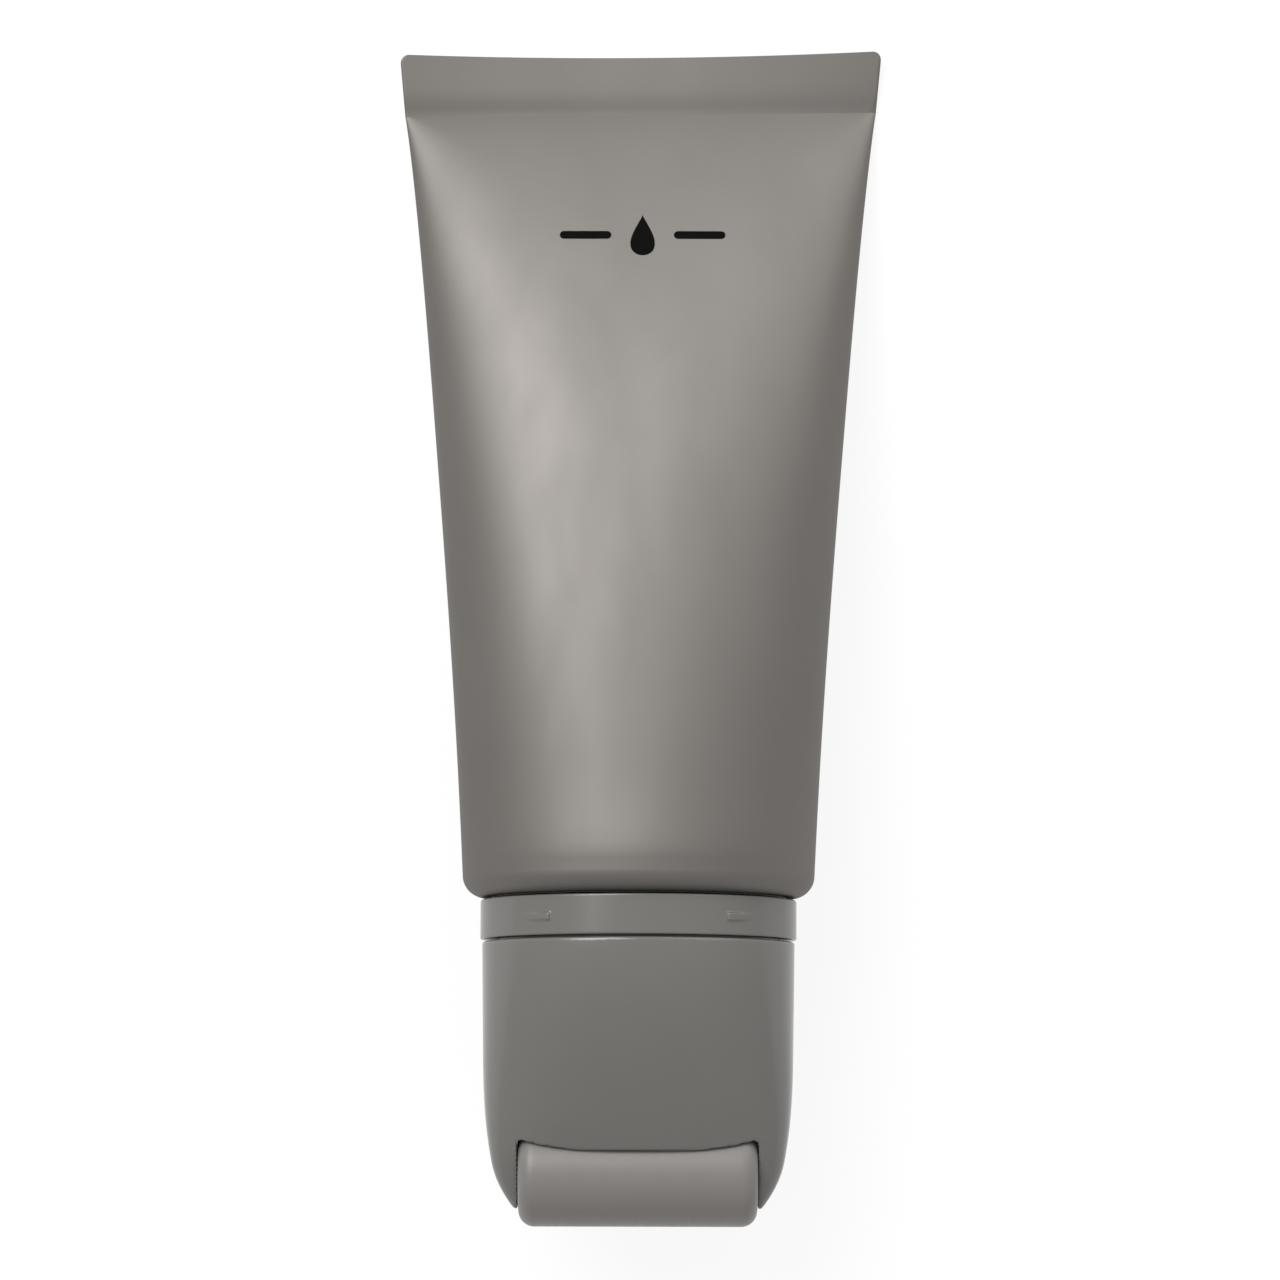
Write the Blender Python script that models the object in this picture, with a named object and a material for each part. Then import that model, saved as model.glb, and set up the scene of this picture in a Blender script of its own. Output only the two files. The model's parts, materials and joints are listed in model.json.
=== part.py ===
"""Squeeze tube for a shaving or skin cream, with a roller applicator head, lying on its back.

Everything is designed along the tube's own axes and then laid down by one parent empty:
X runs across the tube, Y along it towards the crimped end, and Z out of its front face.
Y is 0 where the tube's shoulder meets the head's collar, and the roller is at negative Y.
Sizes are millimetres; the mesh builders turn them into metres.
"""

import math

import bmesh
import bpy
from mathutils import Vector

MM = 0.001

# Driving dimensions of the film sleeve. An oval tube made from a 40 mm round one keeps its girth.
ROUND_DIAMETER = 40.0
CRIMP_HALF_WIDTH = math.pi * ROUND_DIAMETER / 4
SEAL_BASE_HALF_WIDTH = 30.75
SHOULDER_HALF_WIDTH = 22.25
SHOULDER_HALF_DEPTH = 17.7
SLEEVE_LENGTH = 109.6
SEAL_HEIGHT = 6.4
SEAL_BASE = SLEEVE_LENGTH - SEAL_HEIGHT
SEAL_HALF_DEPTH = 0.5
SEAL_END_RADIUS = 0.6
CORNER_RADIUS = 2.8
WAIST = 0.82
FILM = 0.5
LIP_WIDTH = 3.4
LIP_THICKNESS = 0.6
FRONT_FULLNESS = 2.5  # Above 1, the front swells out soon after the seal.
FRONT_FLAT = 0.85
FRONT_FLAT_POWER = 4.7
BACK_FLAT = 0.7
SEAL_FLAT = 0.96
SHOULDER_SWELL = 0.4
SHOULDER_SWELL_LENGTH = 2.7
CRIMP_CORNER_RISE = 0.55
CRIMP_SLANT = 0.27

# Driving dimensions of the applicator head.
COLLAR_HALF_WIDTH = 19.95
COLLAR_HALF_DEPTH = 15.6
COLLAR_TOP = -0.35
COLLAR_BOTTOM = -5.3
SEAM_GAP = 0.3
HOUSING_HALF_WIDTH = 19.7
HOUSING_HALF_DEPTH = 15.35
HOUSING_TIP = -39.0
HOUSING_WALL = 1.6
HOUSING_DRAFT = 0.016
WEDGE_LENGTH = 26.1
WEDGE_DROP = 8.85
CAVITY_FLOOR = -25.9
ROLLER_RADIUS = 6.6
ROLLER_HALF_LENGTH = 14.9
ROLLER_EDGE_RADIUS = 2.0
ROLLER_BORE = 4.0
ROLLER_Y = -34.4
WELL_CLEARANCE = 0.4
AXLE_RADIUS = 1.0
NECK_RADIUS = 9.0
NECK_BORE = 6.0
NECK_END = -8.6

# How finely the round shapes are faceted.
OVAL_POINTS = 40
ROUND_POINTS = 24
AXLE_POINTS = 20
ROLLER_POINTS = 40
SHARP_DEGREES = 32

FILM_GREY = (0.315, 0.298, 0.280, 1.0)
HEAD_GREY = (0.196, 0.188, 0.178, 1.0)
ROLLER_GREY = (0.245, 0.232, 0.218, 1.0)
INNER_WHITE = (0.80, 0.80, 0.78, 1.0)
CREAM_WHITE = (0.90, 0.88, 0.84, 1.0)
SEAL_DARK = (0.05, 0.05, 0.05, 1.0)
SILICONE = (0.70, 0.72, 0.72, 1.0)
STEEL = (0.62, 0.62, 0.63, 1.0)


def clear_scene():
    for obj in list(bpy.data.objects):
        bpy.data.objects.remove(obj)


def material(name, colour, roughness, metallic=0.0):
    made = bpy.data.materials.new(name)
    made.use_nodes = True
    shader = made.node_tree.nodes["Principled BSDF"]
    shader.inputs["Base Color"].default_value = colour
    shader.inputs["Roughness"].default_value = roughness
    shader.inputs["Metallic"].default_value = metallic
    return made


def empty(name, parent=None, location=(0.0, 0.0, 0.0)):
    made = bpy.data.objects.new(name, None)
    bpy.context.scene.collection.objects.link(made)
    made.parent = parent
    made.location = Vector(location) * MM
    return made


def helper(obj):
    """Marks obj as a cutter or an added shape, which isn't a sub-part itself."""
    obj.hide_render = True
    obj.display_type = "WIRE"
    return obj


def oval(half_width, half_depth, y, power=2.0, points=OVAL_POINTS):
    """A ring across the tube at y. Power 2 is an ellipse, and more makes its faces flatter."""
    face = (half_depth, 0.0, power)
    return two_faced(half_width, face, (-half_depth, 0.0, power), 0.0, y, points)


def two_faced(half_width, front, back, fold, y, points=OVAL_POINTS):
    """A ring across the tube at y whose sides are folded at one height, and whose faces differ.

    A face is its height, the share of its width that stays flat, and the power of its fall to the fold.
    """
    ring = []
    for i in range(points):
        angle = 2 * math.pi * i / points
        across = math.cos(angle)
        height, flat, power = front if math.sin(angle) >= 0 else back
        fall = max(0.0, abs(across) - flat) / (1 - flat)
        rise = max(0.0, 1 - fall**power) ** (1 / power)
        ring.append(Vector((half_width * across, y, fold + (height - fold) * rise)))
    return ring


def circle(radius, y, points=ROUND_POINTS):
    return oval(radius, radius, y, points=points)


def turned(radius, x, points=AXLE_POINTS):
    """A ring about the X axis."""
    angles = [2 * math.pi * i / points for i in range(points)]
    return [Vector((x, radius * math.cos(a), radius * math.sin(a))) for a in angles]


def loft(name, rings, surface, parent, closed=False):
    """A solid skinned through rings of equal point counts: capped at both ends, or joined into a hoop."""
    shape = bmesh.new()
    made = [[shape.verts.new(point * MM) for point in ring] for ring in rings]
    pairs = list(zip(made, made[1:]))
    if closed:
        pairs.append((made[-1], made[0]))
    else:
        shape.faces.new(made[0])
        shape.faces.new(made[-1])
    for first, second in pairs:
        for i in range(len(first)):
            j = (i + 1) % len(first)
            shape.faces.new((first[i], first[j], second[j], second[i]))
    bmesh.ops.recalc_face_normals(shape, faces=shape.faces)
    mesh = bpy.data.meshes.new(name)
    shape.to_mesh(mesh)
    shape.free()
    mesh.shade_smooth()
    mesh.set_sharp_from_angle(angle=math.radians(SHARP_DEGREES))
    if surface:
        mesh.materials.append(surface)
    obj = bpy.data.objects.new(name, mesh)
    bpy.context.scene.collection.objects.link(obj)
    obj.parent = parent
    return obj


def boolean(obj, operation, other):
    modifier = obj.modifiers.new(f"{operation.lower()} {other.name}", "BOOLEAN")
    modifier.operation = operation
    modifier.solver = "EXACT"
    modifier.object = other


def box(name, low, high, parent):
    corners = [(low.x, low.z), (high.x, low.z), (high.x, high.z), (low.x, high.z)]
    rings = [[Vector((x, y, z)) for x, z in corners] for y in (low.y, high.y)]
    return loft(name, rings, None, parent)


def arc(count, start_degrees=0.0, end_degrees=90.0):
    """(cosine, sine) pairs evenly spaced from one angle to the other."""
    for i in range(count + 1):
        angle = math.radians(start_degrees + (end_degrees - start_degrees) * i / count)
        yield math.cos(angle), math.sin(angle)


# The film sleeve and what it holds.


def crimp_edge(x):
    """How far the cut edge of the crimp stands above its middle: its corners curl up, one a little more."""
    share = x / CRIMP_HALF_WIDTH
    return CRIMP_CORNER_RISE * share * share + CRIMP_SLANT * share


def back_line(y):
    """Height of the tube's back at y: straight from the shoulder to the cut edge, because it lies on it."""
    bulge = SHOULDER_HALF_DEPTH - SEAL_HALF_DEPTH
    return -SEAL_HALF_DEPTH - bulge * (SLEEVE_LENGTH - y) / (SLEEVE_LENGTH - CORNER_RADIUS)


def sleeve_ring(y, inset=0.0):
    """The sleeve's section at y, drawn in all round by inset. share is 0 at the seal and 1 at the shoulder.

    The sides bow inwards a little, and their folds sink to the back at the seal, whose band lies on the
    floor too. The front swells out soon after the seal. Towards the seal both faces get flatter.
    """
    share = (SEAL_BASE - y) / (SEAL_BASE - CORNER_RADIUS)
    flatness = 1 - share
    width = SEAL_BASE_HALF_WIDTH + (SHOULDER_HALF_WIDTH - SEAL_BASE_HALF_WIDTH) * share
    width -= WAIST * (1 - abs(2 * share**0.85 - 1) ** 2.6)
    seal_front = back_line(SEAL_BASE) + 2 * SEAL_HALF_DEPTH
    front = seal_front + (SHOULDER_HALF_DEPTH - seal_front) * (1 - flatness**FRONT_FULLNESS)
    from_shoulder = (y - CORNER_RADIUS) / SHOULDER_SWELL_LENGTH
    front += SHOULDER_SWELL * from_shoulder * math.exp(1 - from_shoulder)
    fold = (seal_front - SEAL_HALF_DEPTH) * flatness**6
    front_flat = FRONT_FLAT * flatness**FRONT_FLAT_POWER + (SEAL_FLAT - FRONT_FLAT) * flatness**30
    back_flat = BACK_FLAT * flatness**2 + (SEAL_FLAT - BACK_FLAT) * flatness**30
    return two_faced(
        width - inset,
        (front - inset, front_flat, 2.0 + 0.8 * flatness),
        (back_line(y) + inset, back_flat, 2.0 + 0.5 * flatness),
        fold,
        y,
    )


def shoulder_oval(inset, y):
    return oval(SHOULDER_HALF_WIDTH - inset, SHOULDER_HALF_DEPTH - inset, y)


def seal_ring(y, half_width, shrink=0.0):
    """The sealed band's section: two flat faces and folded ends, with the cut edge's curve at its top."""
    top_share = (y - SEAL_BASE) / SEAL_HEIGHT
    half_depth = SEAL_HALF_DEPTH - shrink
    ring = []
    for i in range(OVAL_POINTS):
        angle = 2 * math.pi * i / OVAL_POINTS
        x = half_width * math.cos(angle)
        past_flat = max(0.0, abs(x) - (half_width - SEAL_END_RADIUS)) / SEAL_END_RADIUS
        height = math.sqrt(max(0.0, 1 - past_flat * past_flat))
        side = 1 if math.sin(angle) >= 0 else -1
        place = y + top_share * crimp_edge(x)
        middle = back_line(place) + SEAL_HALF_DEPTH
        ring.append(Vector((x, place, middle + side * half_depth * height)))
    return ring


def sleeve_heights():
    """Stations from the shoulder up to the seal, closer together where the faces flatten out."""
    shares = [1 - (1 - i / 16) ** 1.5 for i in range(1, 16)]
    upper = [CORNER_RADIUS + (SEAL_BASE - CORNER_RADIUS) * share for share in shares]
    return [CORNER_RADIUS, CORNER_RADIUS + SHOULDER_SWELL_LENGTH] + upper


def make_sleeve(parent, surface):
    heights = sleeve_heights()
    rings = [sleeve_ring(y, inset=FILM) for y in heights[15::-1]]
    rings.append(shoulder_oval(FILM + 0.6, LIP_THICKNESS + 0.75))
    rings.append(shoulder_oval(LIP_WIDTH, LIP_THICKNESS))
    rings.append(shoulder_oval(LIP_WIDTH, 0.0))
    for cosine, sine in arc(4, 90, 0):
        rings.append(shoulder_oval(CORNER_RADIUS * (1 - cosine), CORNER_RADIUS * (1 - sine)))
    rings += [sleeve_ring(y) for y in heights[1:]]
    half_slope = (CRIMP_HALF_WIDTH - SEAL_BASE_HALF_WIDTH) / SEAL_HEIGHT
    for height, shrink in ((0.0, 0.0), (SEAL_HEIGHT - 0.7, 0.0), (SEAL_HEIGHT - 0.2, 0.02)):
        rings.append(seal_ring(SEAL_BASE + height, SEAL_BASE_HALF_WIDTH + half_slope * height, shrink))
    rings.append(seal_ring(SLEEVE_LENGTH, CRIMP_HALF_WIDTH - 0.55, 0.15))
    return loft("tube_sleeve", rings, surface, parent)


def make_shoulder(parent, surface):
    """Moulded oval shoulder inside the sleeve's lip, with the round neck and the bead that holds the collar."""
    plate_top = 2.0
    step = LIP_WIDTH + 0.12
    round_part = [
        (NECK_RADIUS, -0.1),
        (NECK_RADIUS, -5.9),
        (NECK_RADIUS + 0.5, -6.3),
        (NECK_RADIUS + 0.5, -6.9),
        (NECK_RADIUS - 0.1, -7.6),
        (NECK_RADIUS - 0.3, NECK_END),
        (NECK_BORE, NECK_END),
        (NECK_BORE, plate_top),
    ]
    rings = [
        shoulder_oval(FILM + 0.8, plate_top),
        shoulder_oval(FILM + 0.8, LIP_THICKNESS + 0.95),
        shoulder_oval(step, LIP_THICKNESS + 0.12),
        shoulder_oval(step, -0.1),
    ]
    rings += [circle(radius, y, OVAL_POINTS) for radius, y in round_part]
    return loft("tube_shoulder", rings, surface, parent, closed=True)


def make_cream(parent, surface):
    """The cream fills the sleeve and the neck's bore down to the flow plug."""
    gap = FILM + 0.15
    above_shoulder, below_plug = 2.3, -2.7
    rings = [circle(NECK_BORE - 0.2, y, OVAL_POINTS) for y in (below_plug, above_shoulder)]
    rings.append(shoulder_oval(gap + 0.6, above_shoulder))
    rings += [sleeve_ring(y, inset=gap) for y in sleeve_heights()[:15]]
    return loft("cream_fill", rings, surface, parent)


# The dispensing path between the neck and the roller.


def hoop(name, profile, surface, parent, points=ROUND_POINTS):
    """A ring-shaped part turned about the tube's axis from a closed profile of (radius, y)."""
    rings = [circle(radius, y, points) for radius, y in profile]
    return loft(name, rings, surface, parent, closed=True)


def make_neck_gasket(parent, surface):
    profile = [(6.15, -8.72), (8.6, -8.72), (8.8, -8.9), (8.8, -9.25), (8.6, -9.43), (6.15, -9.43)]
    return hoop("neck_gasket", profile, surface, parent)


def make_flow_plug(parent, surface):
    profile = [
        (4.5, -3.0),
        (5.4, -3.0),
        (5.85, -3.6),
        (5.85, -9.4),
        (4.85, -9.4),
        (4.85, -12.3),
        (3.7, -12.3),
        (3.7, -9.6),
        (4.5, -9.0),
    ]
    return hoop("flow_plug", profile, surface, parent)


def make_slit_valve(parent, surface):
    """A silicone disc whose dome is slit crosswise, so that squeezing the tube opens it."""
    profile = [
        (1.0, -13.55),
        (3.0, -13.1),
        (4.2, -12.6),
        (4.6, -12.45),
        (6.3, -12.45),
        (6.3, -13.6),
        (4.2, -13.6),
        (3.6, -13.75),
        (2.0, -14.15),
        (1.0, -14.25),
    ]
    valve = loft("slit_valve", [circle(radius, y) for radius, y in profile], surface, parent)
    slit, half_slit = 2.2, 0.1
    for index, (x, z) in enumerate(((slit, half_slit), (half_slit, slit))):
        cutter = box(f"slit_cutter_{index}", Vector((-x, -15.0, -z)), Vector((x, -12.0, z)), parent)
        boolean(valve, "DIFFERENCE", helper(cutter))
    return valve


def make_valve_retainer(parent, surface):
    profile = [(6.55, -10.95), (7.9, -10.95), (7.9, -15.0), (4.4, -15.0), (4.4, -13.95), (5.4, -13.75), (6.55, -13.75)]
    return hoop("valve_retainer", profile, surface, parent)


def make_duct_seal(parent, surface):
    profile = [(6.0 + 0.5 * c, -15.6 + 0.5 * s) for c, s in list(arc(8, 0, 360))[:-1]]
    return hoop("duct_seal_ring", profile, surface, parent)


def make_delivery_duct(parent, surface):
    """Funnels the cream from the round valve to the slot above the roller."""
    mouth, foot = -17.4, -24.6
    nose = -27.1
    inner_slot, outer_slot = (6.1, 0.7), (6.9, 1.4)
    inner, outer = [], []
    for i in range(6):
        share = i / 5
        y = mouth + (foot - mouth) * share
        eased = share * share * (3 - 2 * share)
        blend = [(4.0 + (slot - 4.0) * eased) for slot in inner_slot]
        inner.append(oval(blend[0], blend[1], y, points=ROUND_POINTS))
        blend = [(5.1 + (slot - 5.1) * eased) for slot in outer_slot]
        outer.append(oval(blend[0], blend[1], y, points=ROUND_POINTS))
    rings = [circle(7.5, -17.1), circle(7.5, -16.2), circle(4.0, -16.2)]
    rings += inner
    rings.append(oval(*inner_slot, nose, points=ROUND_POINTS))
    rings.append(oval(*outer_slot, nose, points=ROUND_POINTS))
    rings += outer[::-1]
    rings.append(circle(5.1, -17.1))
    return loft("delivery_duct", rings, surface, parent, closed=True)


# The applicator head's visible shells.


def collar_surface_depth(x):
    return COLLAR_HALF_DEPTH * math.sqrt(1 - (x / COLLAR_HALF_WIDTH) ** 2)


def cap_bead(name, side_x, side_z, parent):
    """A snap bead for the overcap: it stands proud at its inner end and runs out into the collar's curve."""
    inner_x, outer_x = 10.8, 14.5
    middle, half_height, proud = -3.05, 0.5, 0.38
    rings = []
    for x, rise in ((inner_x, proud), (inner_x + 0.35, proud), (outer_x, -0.1)):
        face = collar_surface_depth(x) + rise
        root = face - 1.1
        outline = [
            (middle - half_height, root),
            (middle - half_height, face - 0.2),
            (middle - half_height * 0.5, face),
            (middle + half_height * 0.5, face),
            (middle + half_height, face - 0.2),
            (middle + half_height, root),
        ]
        rings.append([Vector((side_x * x, y, side_z * z)) for y, z in outline])
    return helper(loft(name, rings, None, parent))


def make_collar(parent, surface):
    """One moulding: the visible oval band, the skirt that snaps over the neck, and the housing's spigot."""

    def band(inset, y):
        return oval(COLLAR_HALF_WIDTH - inset, COLLAR_HALF_DEPTH - inset, y)

    skirt = NECK_RADIUS + 0.75
    floor = NECK_END - 0.95
    web_top, web_bottom = -3.9, COLLAR_BOTTOM + 0.15
    rings = [
        band(0.35, COLLAR_BOTTOM),
        band(0.0, COLLAR_BOTTOM + 0.4),
        band(0.0, COLLAR_TOP - 0.4),
        band(0.35, COLLAR_TOP),
        band(1.6, COLLAR_TOP),
        band(1.6, web_top),
    ]
    skirt_profile = [
        (skirt + 1.3, web_top),
        (skirt + 1.3, -1.6),
        (skirt, -1.6),
        (skirt, -4.8),
        (NECK_RADIUS + 0.2, -5.1),
        (NECK_RADIUS + 0.2, -5.7),
        (skirt, -6.0),
        (skirt, floor),
        (NECK_BORE - 1.0, floor),
        (NECK_BORE - 1.0, floor - 1.2),
        (skirt + 1.3, floor - 1.2),
        (skirt + 1.3, web_bottom),
    ]
    rings += [circle(radius, y, OVAL_POINTS) for radius, y in skirt_profile]
    spigot = [(3.6, web_bottom), (3.6, -9.0), (2.45, -9.0), (2.14, -7.8), (2.2, -6.8), (2.1, COLLAR_BOTTOM)]
    rings += [band(inset, y) for inset, y in spigot]
    collar = loft("head_collar", rings, surface, parent, closed=True)
    for side_x in (-1, 1):
        for side_z in (-1, 1):
            bead = cap_bead(f"cap_bead_{side_x}_{side_z}", side_x, side_z, parent)
            boolean(collar, "UNION", bead)
    return collar


def housing_ring(y, inset=0.0):
    """The housing's section at y: as wide as the collar, thinning to a wedge, with its corners rounded in."""
    below_top = max(0.0, COLLAR_BOTTOM - SEAM_GAP - y)
    thinning = below_top / WEDGE_LENGTH
    rounding = max(0.0, -20.0 - y) / 12.8
    tip = max(0.0, -33.0 - y) / 4.7
    width = HOUSING_HALF_WIDTH - HOUSING_DRAFT * below_top - 0.9 * (rounding**2.5 + tip * tip)
    depth = HOUSING_HALF_DEPTH - WEDGE_DROP * thinning**1.6
    return oval(width - inset, depth - inset, y, power=2.0 + 0.8 * min(1.0, thinning))


def make_well_cutter(parent):
    """The space that the roller turns in, with the two blind holes for the axle's bushes."""
    well_radius = ROLLER_RADIUS + WELL_CLEARANCE
    well_half = ROLLER_HALF_LENGTH + 0.25
    corner, hole, hole_end = 1.0, 1.9, 16.4
    half = [(hole, hole_end), (hole, well_half)]
    half += [
        (well_radius - corner * (1 - c), well_half - corner * (1 - s))
        for c, s in arc(4, 90, 0)
    ]
    profile = half + [(radius, -x) for radius, x in half[::-1]]
    rings = [turned(radius, x, ROLLER_POINTS) for radius, x in profile]
    return helper(loft("roller_well_cutter", rings, None, parent))


def make_housing(parent, axle_frame, surface):
    top = COLLAR_BOTTOM - SEAM_GAP
    first, last = top - 0.3, HOUSING_TIP + 0.6
    rings = [housing_ring(top, inset=0.3)]
    rings += [housing_ring(first + (last - first) * i / 15) for i in range(16)]
    rings.append(housing_ring(HOUSING_TIP + 0.25, inset=0.15))
    rings.append(housing_ring(HOUSING_TIP, inset=0.6))
    housing = loft("head_housing", rings, surface, parent)
    cavity = [housing_ring(top + 1.0, inset=HOUSING_WALL)]
    cavity += [housing_ring(top + (CAVITY_FLOOR - top) * i / 7, inset=HOUSING_WALL) for i in range(8)]
    boolean(housing, "DIFFERENCE", helper(loft("cavity_cutter", cavity, None, parent)))
    boolean(housing, "DIFFERENCE", make_well_cutter(axle_frame))
    slot = [oval(7.1, 1.6, y, points=ROUND_POINTS) for y in (CAVITY_FLOOR + 1.0, CAVITY_FLOOR - 3.5)]
    boolean(housing, "DIFFERENCE", helper(loft("slot_cutter", slot, None, parent)))
    return housing


# The roller and its bearings, turned about the axle.


def make_roller_shell(parent, surface):
    half = [(ROLLER_BORE, ROLLER_HALF_LENGTH - 0.25), (ROLLER_BORE + 0.2, ROLLER_HALF_LENGTH)]
    half += [
        (ROLLER_RADIUS - ROLLER_EDGE_RADIUS * (1 - c), ROLLER_HALF_LENGTH - ROLLER_EDGE_RADIUS * (1 - s))
        for c, s in arc(5, 90, 0)
    ]
    profile = half + [(radius, -x) for radius, x in half[::-1]]
    rings = [turned(radius, x, ROLLER_POINTS) for radius, x in profile]
    return loft("roller_shell", rings, surface, parent, closed=True)


def bearing_parts(side, word, parent, plastic, white):
    """The pieces at one end of the axle, from the middle outwards: hub, thrust washer and bush."""
    hub = [(1.09, 9.3), (3.6, 9.3), (3.86, 9.6), (3.86, 14.3), (1.09, 14.3)]
    hub_rings = [turned(radius, side * x) for radius, x in hub]
    loft(f"roller_hub_{word}", hub_rings, white, parent, closed=True)
    washer = [(1.2, 14.5), (2.8, 14.5), (2.8, 15.05), (1.2, 15.05)]
    washer_rings = [turned(radius, side * x) for radius, x in washer]
    loft(f"thrust_washer_{word}", washer_rings, white, parent, closed=True)
    bush = [(1.09, 16.1), (1.09, 15.2), (1.8, 15.2), (1.8, 16.3)]
    bush_rings = [turned(radius, side * x) for radius, x in bush]
    loft(f"axle_bush_{word}", bush_rings, plastic, parent)


def make_axle(parent, surface):
    half = [(AXLE_RADIUS - 0.2, 16.0), (AXLE_RADIUS, 15.8)]
    profile = half + [(radius, -x) for radius, x in half[::-1]]
    return loft("roller_axle", [turned(radius, x) for radius, x in profile], surface, parent)


def make_hub_spacer(parent, surface):
    profile = [(1.25, -9.1), (1.25, 9.1), (2.2, 9.1), (2.2, -9.1)]
    return loft("hub_spacer", [turned(radius, x) for radius, x in profile], surface, parent, closed=True)


def lay_down(frame):
    """Tips the tube onto its straight back, and centres it over the origin with its lowest point at height 0."""
    rise = SHOULDER_HALF_DEPTH - SEAL_HALF_DEPTH
    frame.rotation_euler.x = -math.atan2(rise, SLEEVE_LENGTH - CORNER_RADIUS)
    bpy.context.view_layer.update()
    shown = [o for o in bpy.context.scene.objects if o.type == "MESH" and not o.hide_render]
    points = [o.matrix_world @ v.co for o in shown for v in o.data.vertices]
    low = Vector([min(p[axis] for p in points) for axis in range(3)])
    high = Vector([max(p[axis] for p in points) for axis in range(3)])
    frame.location = (-(low.x + high.x) / 2, -(low.y + high.y) / 2, -low.z)
    bpy.context.view_layer.update()


def main():
    clear_scene()
    film = material("tube_film", FILM_GREY, 0.42)
    head = material("head_plastic", HEAD_GREY, 0.5)
    roller = material("roller_coating", ROLLER_GREY, 0.45)
    white = material("inner_plastic", INNER_WHITE, 0.4)
    rubber = material("seal_rubber", SEAL_DARK, 0.7)
    silicone = material("valve_silicone", SILICONE, 0.35)
    steel = material("axle_steel", STEEL, 0.25, metallic=1.0)
    cream = material("cream", CREAM_WHITE, 0.3)

    tube_frame = empty("tube_frame")
    axle_frame = empty("axle_frame", tube_frame, (0.0, ROLLER_Y, 0.0))

    make_sleeve(tube_frame, film)
    make_shoulder(tube_frame, head)
    make_cream(tube_frame, cream)
    make_neck_gasket(tube_frame, rubber)
    make_flow_plug(tube_frame, white)
    make_slit_valve(tube_frame, silicone)
    make_valve_retainer(tube_frame, white)
    make_duct_seal(tube_frame, rubber)
    make_delivery_duct(tube_frame, white)
    make_collar(tube_frame, head)
    make_housing(tube_frame, axle_frame, head)

    make_roller_shell(axle_frame, roller)
    make_hub_spacer(axle_frame, white)
    make_axle(axle_frame, steel)
    for side, word in ((-1, "left"), (1, "right")):
        bearing_parts(side, word, axle_frame, head, white)

    lay_down(tube_frame)


main()
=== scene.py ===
"""The looks of the roller-applicator squeeze tube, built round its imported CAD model.

Shapes are worked out along the tube's own axes, in millimetres, as in the CAD model: X across the tube,
Y along it from the seam below its shoulder towards the crimp, and Z out of its front face. in_place()
then lays them down in metres. Each piece is one closed mesh.
"""

import json
import math

import bpy
import numpy as np
from mathutils import Matrix, Vector


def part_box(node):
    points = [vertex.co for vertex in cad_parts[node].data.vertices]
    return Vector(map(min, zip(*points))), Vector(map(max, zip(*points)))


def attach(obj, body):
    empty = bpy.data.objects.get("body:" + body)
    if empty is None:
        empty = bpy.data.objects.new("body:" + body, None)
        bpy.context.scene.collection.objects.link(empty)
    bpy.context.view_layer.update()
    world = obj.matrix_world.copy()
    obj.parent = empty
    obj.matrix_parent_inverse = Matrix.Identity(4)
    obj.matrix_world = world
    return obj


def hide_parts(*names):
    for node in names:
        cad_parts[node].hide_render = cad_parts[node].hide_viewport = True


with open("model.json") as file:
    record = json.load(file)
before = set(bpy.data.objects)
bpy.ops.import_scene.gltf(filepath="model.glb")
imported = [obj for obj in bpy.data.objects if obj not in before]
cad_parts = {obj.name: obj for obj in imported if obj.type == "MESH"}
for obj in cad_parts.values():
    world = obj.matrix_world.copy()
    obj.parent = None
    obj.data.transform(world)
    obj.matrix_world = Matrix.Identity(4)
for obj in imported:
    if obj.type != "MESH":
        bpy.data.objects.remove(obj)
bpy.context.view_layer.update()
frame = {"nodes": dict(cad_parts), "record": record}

MM = 0.001

# The film sleeve, in the CAD model's dimensions.
CRIMP_HALF_WIDTH = math.pi * 40.0 / 4
SEAL_BASE_HALF_WIDTH = 30.75
SHOULDER_HALF_WIDTH = 22.25
SHOULDER_HALF_DEPTH = 17.7
SLEEVE_LENGTH = 109.6
SEAL_HALF_DEPTH = 0.5
CORNER_RADIUS = 2.8
WAIST = 0.82
FILM = 0.5
LIP_WIDTH = 3.4
LIP_THICKNESS = 0.6
FRONT_FLAT = 0.85
FRONT_FLAT_POWER = 4.7
BACK_FLAT = 0.7
SEAL_FLAT = 0.96
CRIMP_CORNER_RISE = 0.55
CRIMP_SLANT = 0.27

# The sleeve's finer shape, where it goes beyond the CAD model or differs a little from it.
SEAL_HEIGHT = 7.3
SEAL_BASE = SLEEVE_LENGTH - SEAL_HEIGHT
SEAL_END_RADIUS = 0.35
FRONT_FULLNESS = 2.45
SHOULDER_SWELL = 0.29
SHOULDER_SWELL_LENGTH = 2.7
CRIMP_CORNER = 1.1
CRIMP_CURL = 0.9
CRIMP_FOOT_SLANT = 0.35
FOOT_SLANT_REACH = 6.0
GROOVE_DEPTH = 0.18
GROOVE_LEFTWARD = 0.4
GROOVE_RISE_LENGTH = 1.7
GROOVE_FADE_LENGTH = 25.5
HAND_PRESS = 0.03

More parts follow.
